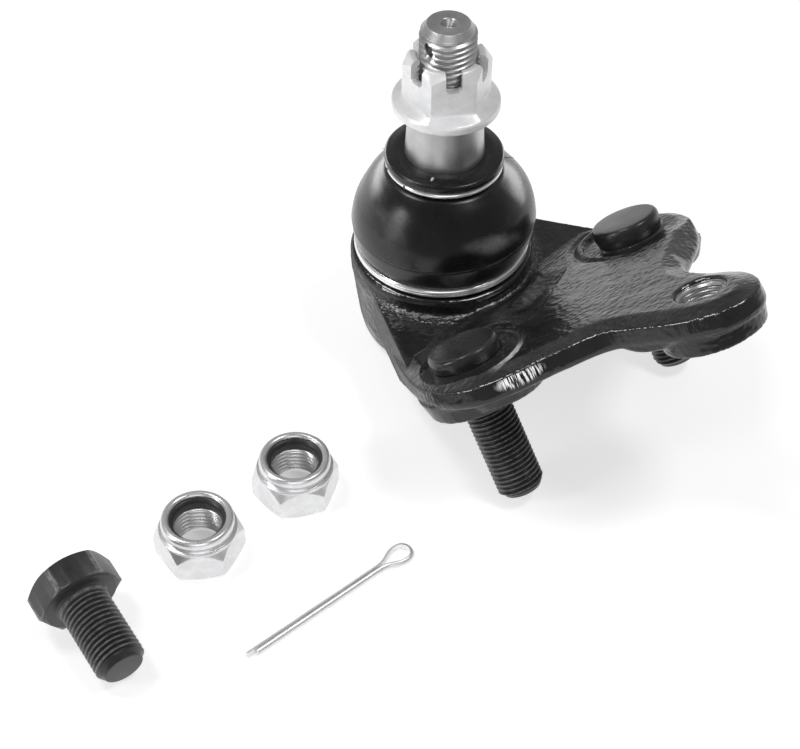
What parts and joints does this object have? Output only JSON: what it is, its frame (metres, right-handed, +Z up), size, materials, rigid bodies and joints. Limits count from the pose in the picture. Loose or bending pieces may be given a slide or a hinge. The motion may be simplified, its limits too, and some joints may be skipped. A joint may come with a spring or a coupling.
{
  "type": "suspension ball joint",
  "caption": "Lower suspension ball joint: tapered ball stud with castle nut, rubber boot, and a slanted forged bracket with stud bolts and a threaded ear; loose fixings beside it.",
  "frame": {"origin": "centre of the ball; the surface the joint stands on is at z = -0.018", "axes": "+Z up the ball stud at rest, +X towards the threaded ear of the bracket, Y across the two stud bolts"},
  "size_m": [0.1175, 0.187, 0.0957],
  "materials": {
    "black_ecoat": "glossy, pebbled forging under the coat",
    "phosphated_steel": "dark satin",
    "bearing_plastic": "satin",
    "satin_steel": "satin, turned",
    "bright_wire": "bright drawn wire",
    "boot_rubber": "semi-gloss",
    "zinc_steel": "bright zinc",
    "nylon_insert": "satin"
  },
  "bodies": {
    "housing": {"housing_bracket": "black_ecoat", "stud_bolt_front": "phosphated_steel", "stud_bolt_rear": "phosphated_steel", "upper_bearing_seat": "bearing_plastic", "lower_bearing_seat": "bearing_plastic", "preload_spring": "satin_steel", "cover_plate": "black_ecoat", "boot_base_ring": "bright_wire"},
    "boot_body": {"boot": "boot_rubber"},
    "collar": {"boot_top_ring": "bright_wire"},
    "stud": {"ball_stud": "satin_steel"},
    "nut": {"castle_nut": "zinc_steel"},
    "lock_nut_front": {"lock_nut_front_body": "zinc_steel", "lock_nut_front_insert": "nylon_insert"},
    "lock_nut_rear": {"lock_nut_rear_body": "zinc_steel", "lock_nut_rear_insert": "nylon_insert"},
    "bolt": {"hex_bolt": "phosphated_steel"},
    "cotter": {"cotter_pin": "zinc_steel"}
  },
  "joints": [
    {"name": "swing_x", "type": "hinge", "parent": "housing", "child": "boot_body", "pos_m": [0, 0, 0], "axis": [1, 0, 0], "range_deg": [-20, 20], "deforming": ["boot"]},
    {"name": "swing_y", "type": "hinge", "parent": "boot_body", "child": "collar", "pos_m": [0, 0, 0], "axis": [0, 1, 0], "range_deg": [-20, 20], "deforming": ["boot"]},
    {"name": "spin", "type": "hinge", "parent": "collar", "child": "stud", "pos_m": [0, 0, 0], "axis": [0, 0, 1], "continuous": true},
    {"name": "castle_nut_off", "type": "slide", "parent": "stud", "child": "nut", "axis": [0, 0, 1], "range_m": [0, 0.03]},
    {"name": "lock_nut_front_lift", "type": "slide", "parent": "housing", "child": "lock_nut_front", "axis": [0, 0, 1], "range_m": [0, 0.05]},
    {"name": "lock_nut_rear_lift", "type": "slide", "parent": "housing", "child": "lock_nut_rear", "axis": [0, 0, 1], "range_m": [0, 0.05]},
    {"name": "bolt_lift", "type": "slide", "parent": "housing", "child": "bolt", "axis": [0, 0, 1], "range_m": [0, 0.05]},
    {"name": "cotter_lift", "type": "slide", "parent": "housing", "child": "cotter", "axis": [0, 0, 1], "range_m": [0, 0.05]}
  ]
}
